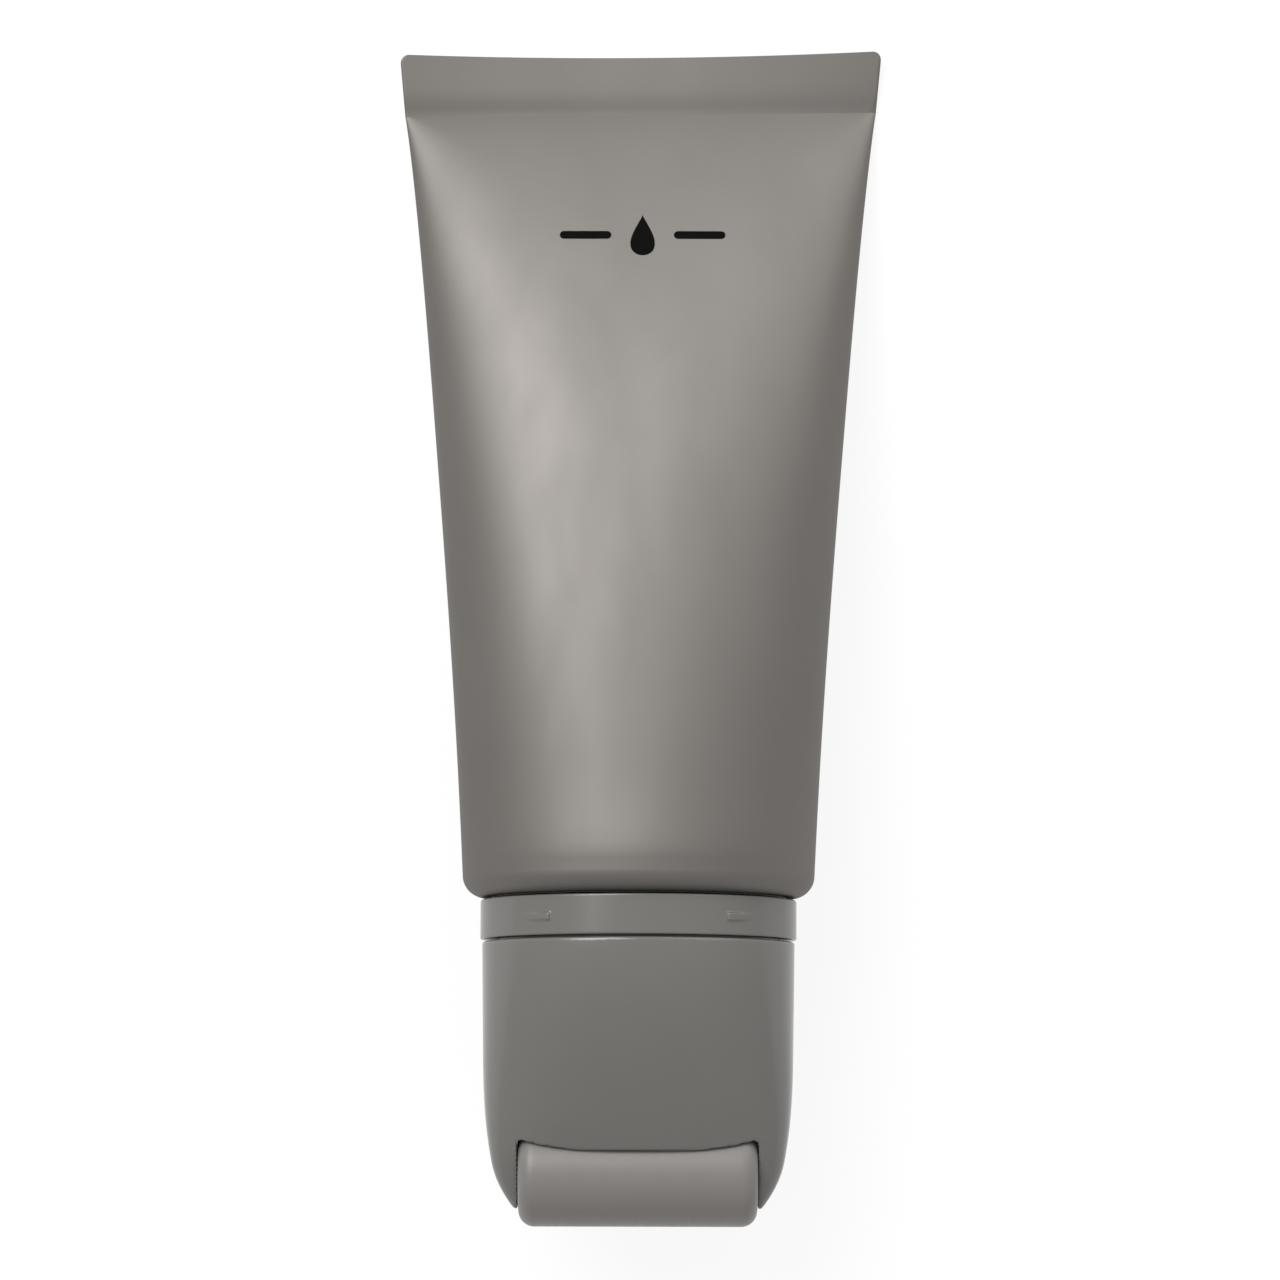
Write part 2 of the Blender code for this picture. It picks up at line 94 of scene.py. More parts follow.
# The applicator head, in the CAD model's dimensions.
COLLAR_HALF_WIDTH = 19.95
COLLAR_HALF_DEPTH = 15.6
COLLAR_TOP = -0.35
COLLAR_BOTTOM = -5.3
HOUSING_TOP = COLLAR_BOTTOM - 0.3
HOUSING_HALF_WIDTH = 19.7
HOUSING_HALF_DEPTH = 15.35
HOUSING_TIP = -39.0
HOUSING_WALL = 1.6
HOUSING_DRAFT = 0.016
WEDGE_LENGTH = 26.1
WEDGE_DROP = 8.85
CAVITY_FLOOR = -25.9
ROLLER_RADIUS = 6.6
ROLLER_HALF_LENGTH = 14.9
ROLLER_EDGE_RADIUS = 2.0
ROLLER_BORE = 4.0
ROLLER_Y = -34.4
NECK_RADIUS = 9.0
NECK_BORE = 6.0
NECK_END = -8.6

# The head's finer shape.
BEAD_MIDDLE = -3.05
BEAD_HALF_HEIGHT = 0.5
BEAD_PROUD = 0.34
BEAD_INNER_END = 10.75
BEAD_OUTER_END = 14.5
BEAD_EDGE = 0.34
WELL_CLEARANCE = 0.3
WELL_END_GAP = 0.1
WELL_CORNER_RADIUS = 1.0
WELL_EDGE_RADIUS = 0.45

# How the tube lies: tipped onto its straight back, with the roller's axle where the CAD model has it.
BACK_SLOPE = (SHOULDER_HALF_DEPTH - SEAL_HALF_DEPTH) / (SLEEVE_LENGTH - CORNER_RADIUS)
TILT = math.atan(BACK_SLOPE)
TURN = Matrix.Rotation(-TILT, 3, "X")
AXLE = sum(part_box("roller_axle"), Vector()) / 2
ORIGIN = AXLE - TURN @ Vector((0.0, ROLLER_Y, 0.0)) * MM


def in_place(points):
    """World places, in metres, of points along the tube's own axes, in millimetres."""
    return np.asarray(points) * MM @ np.array(TURN.transposed()) + np.array(ORIGIN)


# Mesh building.


def mesh_piece(name, points, faces, surface, sharp_degrees=50.0):
    mesh = bpy.data.meshes.new(name)
    mesh.from_pydata(in_place(points).tolist(), [], faces)
    mesh.validate()
    mesh.shade_smooth()
    mesh.set_sharp_from_angle(angle=math.radians(sharp_degrees))
    mesh.materials.append(surface)
    piece = bpy.data.objects.new(name, mesh)
    bpy.context.scene.collection.objects.link(piece)
    return piece


def skin_faces(ring_count, ring_size, closed):
    """Quads between neighbouring rings, facing out if each runs from X to Z as they go towards -Y."""
    row, i = np.meshgrid(np.arange(ring_count - (not closed)), np.arange(ring_size), indexing="ij")
    j, following = (i + 1) % ring_size, (row + 1) % ring_count
    here, there = row * ring_size, following * ring_size
    corners = (here + i, here + j, there + j, there + i)
    return np.stack(corners, axis=-1).reshape(-1, 4).tolist()


def skin(name, rings, surface, closed=True, flip=False, sharp_degrees=50.0):
    """One solid skinned through rings of points: a hoop, or a body capped at both ends."""
    points = np.concatenate(rings)
    size = len(rings[0])
    faces = skin_faces(len(rings), size, closed)
    if not closed:
        faces.append(list(range(size))[::-1])
        faces.append(list(range(len(points) - size, len(points))))
    if flip:
        faces = [face[::-1] for face in faces]
    return mesh_piece(name, points, faces, surface, sharp_degrees)


def arc(count, start_degrees, end_degrees):
    """(cosine, sine) pairs evenly spaced from one angle to the other."""
    angles = np.radians(np.linspace(start_degrees, end_degrees, count + 1))
    return list(zip(np.cos(angles), np.sin(angles)))


def face_outline(half_width, face, fold, angles):
    """(x, z) points over one face of an oval, whose sides are folded at height fold.

    A face is its height, the share of its width that stays flat, and the power of its fall to the folds.
    """
    height, flat, power = face
    across = np.cos(angles)
    fall = np.maximum(0.0, np.abs(across) - flat) / (1 - flat)
    rise = np.maximum(0.0, 1 - fall**power) ** (1 / power)
    return np.stack([half_width * across, fold + (height - fold) * rise], axis=1)


def two_faced(half_width, front, back, fold=0.0, count=120):
    """(x, z) points round an oval: count steps over its front, then as many over its back."""
    angles = np.linspace(0.0, math.pi, count + 1)
    top = face_outline(half_width, front, fold, angles)
    bottom = face_outline(half_width, back, fold, angles)
    return np.concatenate([top[:-1], bottom[:0:-1]])


def ellipse(half_width, half_depth, count=120):
    return two_faced(half_width, (half_depth, 0.0, 2.0), (-half_depth, 0.0, 2.0), count=count)


def ring_at(outline, y):
    """(x, z) points as places at y, which is one height or one for each point."""
    return np.stack([outline[:, 0], np.broadcast_to(y, len(outline)), outline[:, 1]], axis=1)


# Materials.


class Surface:
    """A Principled material with short calls for the procedural nodes that drive it."""

    def __init__(self, name, colour, roughness, **sockets):
        self.material = bpy.data.materials.new(name)
        self.material.use_nodes = True
        self.tree = self.material.node_tree
        self.shader = self.tree.nodes["Principled BSDF"]
        self.colour = colour
        self.roughness = roughness
        self.shader.inputs["Base Color"].default_value = (*colour, 1.0)
        self.shader.inputs["Roughness"].default_value = roughness
        for socket, value in sockets.items():
            self.shader.inputs[socket.replace("_", " ")].default_value = value
        coordinates = self.tree.nodes.new("ShaderNodeTexCoord")
        self.place = coordinates.outputs["Object"]
        self.height = None

    def noise(self, per_mm, detail=3.0, stretch=(1.0, 1.0, 1.0)):
        """Noise of that many features per millimetre, drawn out along an axis with a stretch below 1."""
        mapping = self.tree.nodes.new("ShaderNodeMapping")
        mapping.inputs["Scale"].default_value = [s / MM for s in stretch]
        self.tree.links.new(self.place, mapping.inputs["Vector"])
        noise = self.tree.nodes.new("ShaderNodeTexNoise")
        noise.inputs["Scale"].default_value = per_mm
        noise.inputs["Detail"].default_value = detail
        self.tree.links.new(mapping.outputs["Vector"], noise.inputs["Vector"])
        return noise.outputs["Fac"]

    def vary_colour(self, factor, amount):
        """Lightens and darkens the colour by amount as factor runs over its middle."""
        ramp = self.tree.nodes.new("ShaderNodeValToRGB")
        low, high = ramp.color_ramp.elements
        low.position, high.position = 0.35, 0.65
        low.color = (*[c * (1 - amount) for c in self.colour], 1.0)
        high.color = (*[c * (1 + amount) for c in self.colour], 1.0)
        self.tree.links.new(factor, ramp.inputs["Fac"])
        self.tree.links.new(ramp.outputs["Color"], self.shader.inputs["Base Color"])

    def vary_roughness(self, factor, amount):
        spread_out = self.tree.nodes.new("ShaderNodeMapRange")
        spread_out.inputs["From Min"].default_value = 0.35
        spread_out.inputs["From Max"].default_value = 0.65
        spread_out.inputs["To Min"].default_value = self.roughness - amount
        spread_out.inputs["To Max"].default_value = self.roughness + amount
        self.tree.links.new(factor, spread_out.inputs["Value"])
        self.tree.links.new(spread_out.outputs["Result"], self.shader.inputs["Roughness"])

    def bump(self, factor, depth_mm, strength=1.0):
        """Adds a relief of that depth on top of those already there."""
        bump = self.tree.nodes.new("ShaderNodeBump")
        bump.inputs["Strength"].default_value = strength
        bump.inputs["Distance"].default_value = depth_mm * MM
        self.tree.links.new(factor, bump.inputs["Height"])
        if self.height is not None:
            self.tree.links.new(self.height, bump.inputs["Normal"])
        self.height = bump.outputs["Normal"]
        self.tree.links.new(self.height, self.shader.inputs["Normal"])


def film_surface():
    """Satin extruded film: faint draw lines along the tube and the fine tooth of a matt lacquer."""
    film = Surface("tube_film", (0.191, 0.180, 0.168), 0.59, Metallic=0.98, Specular_IOR_Level=0.45)
    film.shader.inputs["Specular Tint"].default_value = (0.66, 0.66, 0.66, 1.0)
    film.vary_colour(film.noise(0.05, detail=2.0), 0.015)
    film.vary_roughness(film.noise(0.12, detail=3.0, stretch=(1.0, 0.3, 1.0)), 0.025)
    film.bump(film.noise(1.1, detail=2.0, stretch=(1.0, 0.02, 1.0)), 0.004, 0.5)
    film.bump(film.noise(9.0, detail=2.0), 0.0025, 0.6)
    return film.material


def moulded_surface(name, colour, roughness):
    """Moulded polypropylene with a fine spark-eroded grain."""
    plastic = Surface(name, colour, roughness, Specular_IOR_Level=0.5)
    plastic.vary_colour(plastic.noise(0.08, detail=3.0), 0.02)
    plastic.vary_roughness(plastic.noise(0.2, detail=2.0), 0.015)
    plastic.bump(plastic.noise(6.0, detail=2.0), 0.0012, 0.5)
    return plastic.material


def roller_surface():
    """Satin coated roller: fine polishing lines round it and a slight cloudiness."""
    coat = Surface("roller_coating", (0.156, 0.145, 0.137), 0.42, Specular_IOR_Level=0.5)
    coat.vary_colour(coat.noise(0.15, detail=3.0), 0.02)
    coat.vary_roughness(coat.noise(0.6, detail=3.0, stretch=(3.0, 0.5, 0.5)), 0.03)
    coat.bump(coat.noise(4.0, detail=2.0, stretch=(2.0, 0.2, 0.2)), 0.003, 0.5)
    return coat.material


def ink_surface():
    """Flat black screen-printed ink."""
    ink = Surface("print_ink", (0.002, 0.002, 0.002), 0.6, Specular_IOR_Level=0.03)
    ink.vary_roughness(ink.noise(1.5, detail=3.0), 0.05)
    ink.bump(ink.noise(6.0, detail=2.0), 0.003, 0.5)
    return ink.material


def inner_surfaces():
    """Materials by record slot for the pieces that the shells hide."""
    inner = moulded_surface("inner_plastic", (0.16, 0.155, 0.15), 0.4)
    cream = Surface("cream", (0.90, 0.88, 0.84), 0.35, Subsurface_Weight=0.1, Subsurface_Scale=0.002)
    cream.vary_colour(cream.noise(0.2), 0.01)
    cream.bump(cream.noise(0.4, detail=4.0), 0.05, 0.4)
    rubber = Surface("seal_rubber", (0.035, 0.035, 0.035), 0.65)
    rubber.vary_roughness(rubber.noise(2.0), 0.06)
    rubber.bump(rubber.noise(6.0), 0.006, 0.5)
    clear = {"Subsurface_Weight": 0.15, "Subsurface_Scale": 0.001}
    silicone = Surface("valve_silicone", (0.70, 0.72, 0.72), 0.35, **clear)
    silicone.vary_roughness(silicone.noise(1.0), 0.05)
    silicone.bump(silicone.noise(5.0), 0.003, 0.4)
    steel = Surface("axle_steel", (0.62, 0.62, 0.63), 0.25, Metallic=1.0)
    steel.vary_roughness(steel.noise(3.0, stretch=(0.1, 3.0, 3.0)), 0.06)
    steel.bump(steel.noise(4.0, stretch=(0.05, 3.0, 3.0)), 0.002, 0.5)
    return {
        "inner_plastic": inner,
        "cream": cream.material,
        "seal_rubber": rubber.material,
        "valve_silicone": silicone.material,
        "axle_steel": steel.material,
    }


# The film sleeve and its print.


def crimp_edge(x):
    """How far the cut edge rises at x: towards both corners, and more to the right."""
    share = x / CRIMP_HALF_WIDTH
    return CRIMP_CORNER_RISE * share * share + CRIMP_SLANT * share


def back_line(y):
    """Height of the tube's straight back at y, all the way to the cut edge."""
    return -SEAL_HALF_DEPTH - BACK_SLOPE * (SLEEVE_LENGTH - y)


def sleeve_shape(y):
    """Half width, front face, back face and fold height of the sleeve's section at y."""
    share = (SEAL_BASE - y) / (SEAL_BASE - CORNER_RADIUS)
    flatness = 1 - share
    width = SEAL_BASE_HALF_WIDTH + (SHOULDER_HALF_WIDTH - SEAL_BASE_HALF_WIDTH) * share
    width -= WAIST * (1 - abs(2 * share**0.85 - 1) ** 2.6)
    seal_front = back_line(SEAL_BASE) + 2 * SEAL_HALF_DEPTH
    front = seal_front + (SHOULDER_HALF_DEPTH - seal_front) * (1 - flatness**FRONT_FULLNESS)
    from_shoulder = (y - CORNER_RADIUS) / SHOULDER_SWELL_LENGTH
    front += SHOULDER_SWELL * from_shoulder * math.exp(1 - from_shoulder)
    fold = (seal_front - SEAL_HALF_DEPTH) * flatness**6
    front_flat = FRONT_FLAT * flatness**FRONT_FLAT_POWER + (SEAL_FLAT - FRONT_FLAT) * flatness**30
    back_flat = BACK_FLAT * flatness**2 + (SEAL_FLAT - BACK_FLAT) * flatness**30
    front_face = (front, front_flat, 2.0 + 0.8 * flatness)
    return width, front_face, (back_line(y), back_flat, 2.0 + 0.5 * flatness), fold


def groove_depth(x, y):
    """Depth of the furrow that the sealing jaws leave along the crimp's foot, deeper to the left."""
    past = y - SEAL_BASE
    fading = -((past / GROOVE_RISE_LENGTH) ** 2) if past > 0 else past / GROOVE_FADE_LENGTH
    return GROOVE_DEPTH * (1 - GROOVE_LEFTWARD * x / CRIMP_HALF_WIDTH) * math.exp(fading)


def press_groove(outline, front, back, fold, y):
    """Presses the furrow into both faces of a section at y."""
    depth = np.where(outline[:, 1] >= fold, front - fold, fold - back)
    outline[:, 1] = fold + (outline[:, 1] - fold) * (1 - groove_depth(outline[:, 0], y) / depth)


def foot_slant(x):
    return CRIMP_FOOT_SLANT * x / CRIMP_HALF_WIDTH


def moved_along_back(ring, distance):
    """Moves each of a ring's points by its own distance towards the crimp, along the straight back."""
    ring[:, 1] += distance
    ring[:, 2] += BACK_SLOPE * distance
    return ring


def sleeve_section(y, inset=0.0):
    width, (front, *front_fall), (back, *back_fall), fold = sleeve_shape(y)
    front, back = front - inset, back + inset
    outline = two_faced(width - inset, (front, *front_fall), (back, *back_fall), fold)
    press_groove(outline, front, back, fold, y)
    slant = foot_slant(outline[:, 0]) * math.exp((y - SEAL_BASE) / FOOT_SLANT_REACH)
    return moved_along_back(ring_at(outline, y), slant)


def shoulder_section(inset, y):
    return ring_at(ellipse(SHOULDER_HALF_WIDTH - inset, SHOULDER_HALF_DEPTH - inset), y)


def seal_section(above_base, inset=0.0):
    """The crimped band: two flat faces with folded ends, whose top corners are rounded and curl up."""
    up = above_base / SEAL_HEIGHT
    width = SEAL_BASE_HALF_WIDTH + (CRIMP_HALF_WIDTH - SEAL_BASE_HALF_WIDTH) * up
    into_corner = max(0.0, above_base - (SEAL_HEIGHT - CRIMP_CORNER))
    width -= CRIMP_CORNER - math.sqrt(max(0.0, CRIMP_CORNER**2 - into_corner**2))
    half_depth = SEAL_HALF_DEPTH - inset
    flat_at_top = 1 - SEAL_END_RADIUS / CRIMP_HALF_WIDTH
    flat = SEAL_FLAT + (flat_at_top - SEAL_FLAT) * min(1.0, above_base / 2.0)
    outline = two_faced(width - inset, (half_depth, flat, 2.8), (-half_depth, flat, 2.5))
    press_groove(outline, half_depth, -half_depth, 0.0, SEAL_BASE + above_base)
    x = outline[:, 0]
    lift = CRIMP_CURL * up * (x / CRIMP_HALF_WIDTH + 0.1) ** 2
    outline[:, 1] += back_line(SEAL_BASE + above_base) + SEAL_HALF_DEPTH + lift
    distance = up * crimp_edge(x) + (1 - up) * foot_slant(x) - BACK_SLOPE * lift
    return moved_along_back(ring_at(outline, SEAL_BASE + above_base), distance)


def handled(ring):
    """Presses the film in a little here and there, as hands do, and least near its ends."""
    x, y, z = ring.T
    calm = np.clip((SEAL_BASE - y) / 25.0, 0.0, 1.0) * np.clip((y - CORNER_RADIUS) / 20.0, 0.0, 1.0)
    waves = np.sin(0.19 * x + 0.071 * y + 0.6) * np.sin(0.113 * y - 0.09 * x + 1.9)
    waves += 0.6 * np.sin(0.047 * y + 0.31 * x + np.sign(z) * 1.3)
    off_the_fold = np.clip(np.abs(z) / 3.0, 0.0, 1.0)
    ring[:, 2] -= np.sign(z) * calm * HAND_PRESS * (1.6 + waves) * off_the_fold
    return ring


def make_sleeve(surface):
    """The film's skin, from its inner face round the lip below the shoulder to the cut edge."""
    inner_heights = np.linspace(SEAL_BASE - 4.5, CORNER_RADIUS, 40)
    rings = [handled(sleeve_section(y, FILM)) for y in inner_heights]
    rings.append(shoulder_section(FILM + 0.6, LIP_THICKNESS + 0.75))
    rings.append(shoulder_section(LIP_WIDTH, LIP_THICKNESS))
    rings.append(shoulder_section(LIP_WIDTH, 0.0))
    for cosine, sine in arc(14, 90, 0):
        rings.append(shoulder_section(CORNER_RADIUS * (1 - cosine), CORNER_RADIUS * (1 - sine)))
    shares = 1 - (1 - np.linspace(0.0, 1.0, 150)[1:-1]) ** 1.5
    rings += [handled(sleeve_section(y)) for y in CORNER_RADIUS + (SEAL_BASE - CORNER_RADIUS) * shares]
    corner_foot = SEAL_HEIGHT - CRIMP_CORNER
    rings += [seal_section(above) for above in np.linspace(0.0, corner_foot, 30)[:-1]]
    rings += [seal_section(corner_foot + CRIMP_CORNER * sine) for _, sine in arc(10, 0, 78)]
    cut_edge = [(SEAL_HEIGHT, 0.12), (SEAL_HEIGHT, 0.44), (SEAL_HEIGHT - 0.15, 0.46)]
    rings += [seal_section(above, inset) for above, inset in cut_edge]
    points = np.concatenate(rings)
    size = len(rings[0])
    faces = [face[::-1] for face in skin_faces(len(rings), size, closed=False)]
    faces += cap_across(len(points) - size, size, flip=True)
    faces += cap_across(0, size, flip=False)
    return mesh_piece("tube_sleeve_film", points, faces, surface, sharp_degrees=22.0)


def make_cream(surface):
    """The cream fills the sleeve, close to the film, and the neck's bore down to the flow plug."""
    gap = FILM + 0.15
    above_plug, above_shoulder = -2.7, 2.3
    bore = ellipse(NECK_BORE - 0.2, NECK_BORE - 0.2)
    rings = [ring_at(bore, y) for y in (above_plug, above_shoulder)]
    rings.append(shoulder_section(gap + 0.6, above_shoulder))
    heights = np.linspace(CORNER_RADIUS + 0.2, SEAL_BASE - 6.0, 80)
    rings += [handled(sleeve_section(y, gap)) for y in heights]
    return skin("cream_mass", rings, surface, closed=False, flip=True)


def cap_across(first, size, flip):
    """Closes a flat ring by joining its front to its back, point by point."""
    faces = []
    half = size // 2
    for i in range(half):
        across = [i, i + 1, (size - i - 1) % size, (size - i) % size]
        corners = list(dict.fromkeys(first + corner for corner in across))
        faces.append(corners[::-1] if flip else corners)
    return faces


def front_height(x, y):
    """Height of the sleeve's front at x and y, as hands have left it."""
    width, (front, flat, power), _, fold = sleeve_shape(y)
    fall = max(0.0, abs(x / width) - flat) / (1 - flat)
    z = fold + (front - fold - groove_depth(x, y)) * (1 - fall**power) ** (1 / power)
    return handled(np.array([[x, y, z]]))[0, 2]


def ink_patch(name, centre, outline, surface):
    """A thin layer of ink on the sleeve's front, over a shape of (x, y) points round its centre."""
    proud, sunk = 0.03, -0.06
    shares = np.linspace(0.0, 1.0, 15)[1:]
    flat = [centre + share * outline for share in shares]
    layers = [[(x, y, front_height(x, y) + proud) for x, y in ring] for ring in flat]
    layers.append([(x, y, front_height(x, y) + sunk) for x, y in flat[-1]])
    layers += [[(x, y, front_height(x, y) + sunk) for x, y in ring] for ring in flat[::-1]]
    rings = [np.array(layer) for layer in layers]
    return skin(name, rings, surface, closed=False, flip=True, sharp_degrees=60.0)


def rounded_bar(half_length, half_height, count=14):
    """A bar with round ends, drawn anticlockwise."""
    straight = half_length - half_height
    right = [(straight + half_height * c, half_height * s) for c, s in arc(count, -90, 90)]
    left = [(-straight + half_height * c, half_height * s) for c, s in arc(count, 90, 270)]
    return np.array(right + left)


def droplet(height, count=72):
    """A drop with its point up: a round foot that narrows to the point."""
    angle = np.linspace(0.0, 2 * math.pi, count, endpoint=False) + math.pi / 2
    lean = np.sin((angle - math.pi / 2) / 2) ** 1.5
    roundness = 0.3844
    x = -roundness * height * np.sin(angle - math.pi / 2) * lean
    y = 0.5 * height * np.cos(angle - math.pi / 2)
    return np.stack([x, y], axis=1)


# The print is a plain drop between two short bars.
PRINT_CENTRE = np.array([0.3, 84.4])
PRINT_HEIGHT = 5.8
PRINT_HALF_WIDTH = 10.6
BAR_HALF_LENGTH = 3.3


def make_print(surface):
    drop = ink_patch("print_drop", PRINT_CENTRE, droplet(PRINT_HEIGHT), surface)
    bars = []
    for side, word in ((-1, "left"), (1, "right")):
        centre = PRINT_CENTRE + np.array([side * (PRINT_HALF_WIDTH - BAR_HALF_LENGTH), 0.0])
        bars.append(ink_patch(f"print_bar_{word}", centre, rounded_bar(BAR_HALF_LENGTH, 0.55), surface))
    return [drop] + bars


# The applicator head's shells.


def bead_rise(x, y):
    """How far the collar's snap beads stand out at x and y: steep on three sides, fading outwards."""
    across = np.abs(x)
    started = np.clip((across - BEAD_INNER_END) / BEAD_EDGE, 0.0, 1.0)
    fade_length = BEAD_OUTER_END - BEAD_INNER_END - BEAD_EDGE
    fading = np.clip((BEAD_OUTER_END - across) / fade_length, 0.0, 1.0)
    within = np.clip((BEAD_HALF_HEIGHT - np.abs(y - BEAD_MIDDLE)) / BEAD_EDGE + 0.5, 0.0, 1.0)
    rise = started * np.minimum(1.0, fading * 1.15) * within
    return BEAD_PROUD * rise * rise * (3 - 2 * rise)


def make_collar(surface):
    """One moulding: the oval band with its beads, the skirt over the neck, and the housing's spigot."""
    steps = 340

    def band(inset, y, beads=False):
        outline = ellipse(COLLAR_HALF_WIDTH - inset, COLLAR_HALF_DEPTH - inset, steps)
        if beads:
            outline[:, 1] += np.sign(outline[:, 1]) * bead_rise(outline[:, 0], y)
        return ring_at(outline, y)

    def hoop(radius, y):
        return ring_at(ellipse(radius, radius, steps), y)

    skirt = NECK_RADIUS + 0.75
    floor = NECK_END - 0.95
    web_top, web_bottom = -3.9, COLLAR_BOTTOM + 0.15
    edge = 0.22
    rings = [band(edge * (1 - c), COLLAR_BOTTOM + edge * (1 - s)) for c, s in arc(5, 90, 0)]
    band_heights = np.linspace(COLLAR_BOTTOM + edge, COLLAR_TOP - edge, 48)
    rings += [band(0.0, y, beads=True) for y in band_heights[1:-1]]
    rings += [band(edge * (1 - c), COLLAR_TOP - edge * (1 - s)) for c, s in arc(5, 0, 90)]
    rings += [band(1.4, COLLAR_TOP), band(1.6, COLLAR_TOP - 0.2), band(1.6, web_top)]
    skirt_profile = [
        (skirt + 1.3, web_top),
        (skirt + 1.3, -1.6),
        (skirt, -1.6),
        (skirt, -4.8),
        (NECK_RADIUS + 0.2, -5.1),
        (NECK_RADIUS + 0.2, -5.7),
        (skirt, -6.0),
        (skirt, floor),
        (NECK_BORE - 1.0, floor),
        (NECK_BORE - 1.0, floor - 1.2),
        (skirt + 1.3, floor - 1.2),
        (skirt + 1.3, web_bottom),
    ]
    rings += [hoop(radius, y) for radius, y in skirt_profile]
    spigot = [
        (3.6, web_bottom),
        (3.6, -9.0),
        (2.45, -9.0),
        (2.14, -7.8),
        (2.2, -6.8),
        (2.1, COLLAR_BOTTOM),
    ]
    rings += [band(inset, y) for inset, y in spigot]
    return skin("head_collar_shell", rings, surface, flip=True, sharp_degrees=40.0)


def smooth_max(a, b, radius):
    """The larger of a and b, with the edge where they cross rounded off."""
    share = np.clip(0.5 + 0.5 * (a - b) / radius, 0.0, 1.0)
    return b + (a - b) * share + radius * share * (1 - share)


def rounded_cylinder(along, outward, radius):
    """Below 0 within a cylinder with a rounded edge, from the distances past its end and its side."""
    along, outward = along + radius, outward + radius
    past_both = np.hypot(np.maximum(along, 0.0), np.maximum(outward, 0.0))
    return past_both + np.minimum(np.maximum(along, outward), 0.0) - radius


def housing_field(points):
    """Below 0 inside the housing and above it outside, close to a distance in millimetres."""
    x, y, z = np.abs(points[:, 0]), points[:, 1], np.abs(points[:, 2])
    below_top = np.maximum(0.0, HOUSING_TOP - y)
    thinning = below_top / WEDGE_LENGTH
    rounding = np.maximum(0.0, -20.0 - y) / 12.8
    tip = np.maximum(0.0, -33.0 - y) / 4.7
    width = HOUSING_HALF_WIDTH - HOUSING_DRAFT * below_top - 0.9 * (rounding**2.5 + tip * tip)
    depth = HOUSING_HALF_DEPTH - WEDGE_DROP * thinning**1.6
    power = 2.0 + 0.8 * np.minimum(1.0, thinning)

    def from_oval(inset):
        a, b = np.maximum(width - inset, 1.0), np.maximum(depth - inset, 1.0)
        out = np.sqrt(x * x + z * z) + 1e-6
        return out - out * ((x / a) ** power + (z / b) ** power + 1e-9) ** (-1 / power)

    body = smooth_max(from_oval(0.0), y - HOUSING_TOP, 0.3)
    body = smooth_max(body, HOUSING_TIP + 0.1 - y, 0.5)
    from_axle = np.hypot(y - ROLLER_Y, z)
    past_end = x - (ROLLER_HALF_LENGTH + WELL_END_GAP)
    past_side = from_axle - (ROLLER_RADIUS + WELL_CLEARANCE)
    well = rounded_cylinder(past_end, past_side, WELL_CORNER_RADIUS)
    body = smooth_max(body, -well, WELL_EDGE_RADIUS)
    slot_half_width, slot_half_depth = 7.1, 1.6
    slot = (np.sqrt((x / slot_half_width) ** 2 + (z / slot_half_depth) ** 2) - 1) * slot_half_depth
    slot = np.maximum(slot, np.maximum(y - (CAVITY_FLOOR + 1.0), ROLLER_Y - y))
    bush_hole = np.maximum(from_axle - 1.9, x - 16.4)
    cavity = np.maximum(from_oval(HOUSING_WALL), CAVITY_FLOOR - y)
    for hollow in (slot, bush_hole, cavity):
        body = np.maximum(body, -hollow)
    return body


def surface_of(field, low, high, step):
    """A quad mesh over a field's zero level: one point for each grid cell that the surface crosses."""
    axes = [np.arange(low[k], high[k] + step, step) for k in range(3)]
    grid = np.stack(np.meshgrid(*axes, indexing="ij"), axis=-1)
    value = field(grid.reshape(-1, 3)).reshape(grid.shape[:3])
    inside = value < 0
    count = inside.astype(int)
    for axis in range(3):
        count = np.moveaxis(count, axis, 0)
        count = np.moveaxis(count[:-1] + count[1:], 0, axis)
    crossed = (count > 0) & (count < 8)
    number = np.full(crossed.shape, -1)
    number[crossed] = np.arange(crossed.sum())
    points = grid[:-1, :-1, :-1][crossed] + step / 2
    quads = []
    for axis in range(3):
        ahead = np.moveaxis(inside, axis, 0)
        numbers = np.moveaxis(number, axis, 0)
        changes = ahead[:-1, 1:-1, 1:-1] != ahead[1:, 1:-1, 1:-1]
        entering = ahead[1:, 1:-1, 1:-1][changes]
        around = [numbers[:, :-1, :-1], numbers[:, 1:, :-1], numbers[:, 1:, 1:], numbers[:, :-1, 1:]]
        quad = np.stack([cells[changes] for cells in around], axis=1)
        turned = entering if axis != 1 else ~entering
        quad[turned] = quad[turned][:, ::-1]
        quads.append(quad)
    return points, np.concatenate(quads)


def settle_on(field, points, quads, step, rounds=6):
    """Evens out the points and slides each onto the field's zero level."""
    edges = np.concatenate([quads[:, [0, 1]], quads[:, [1, 2]], quads[:, [2, 3]], quads[:, [3, 0]]])
    shared = np.bincount(edges.ravel(), minlength=len(points))[:, None]
    for turn in range(rounds):
        if turn < rounds - 2:
            total = np.zeros_like(points)
            np.add.at(total, edges[:, 0], points[edges[:, 1]])
            np.add.at(total, edges[:, 1], points[edges[:, 0]])
            points = 0.5 * points + 0.5 * total / shared
        here = field(points)
        small = 1e-3
        ahead = [field(points + small * way) for way in np.eye(3)]
        behind = [field(points - small * way) for way in np.eye(3)]
        slope = (np.stack(ahead, axis=1) - np.stack(behind, axis=1)) / (2 * small)
        steepness = np.maximum((slope * slope).sum(axis=1), 0.1)
        move = -(here / steepness)[:, None] * slope
        length = np.linalg.norm(move, axis=1, keepdims=True) + 1e-9
        points = points + move * np.minimum(1.0, step / length)
    return points


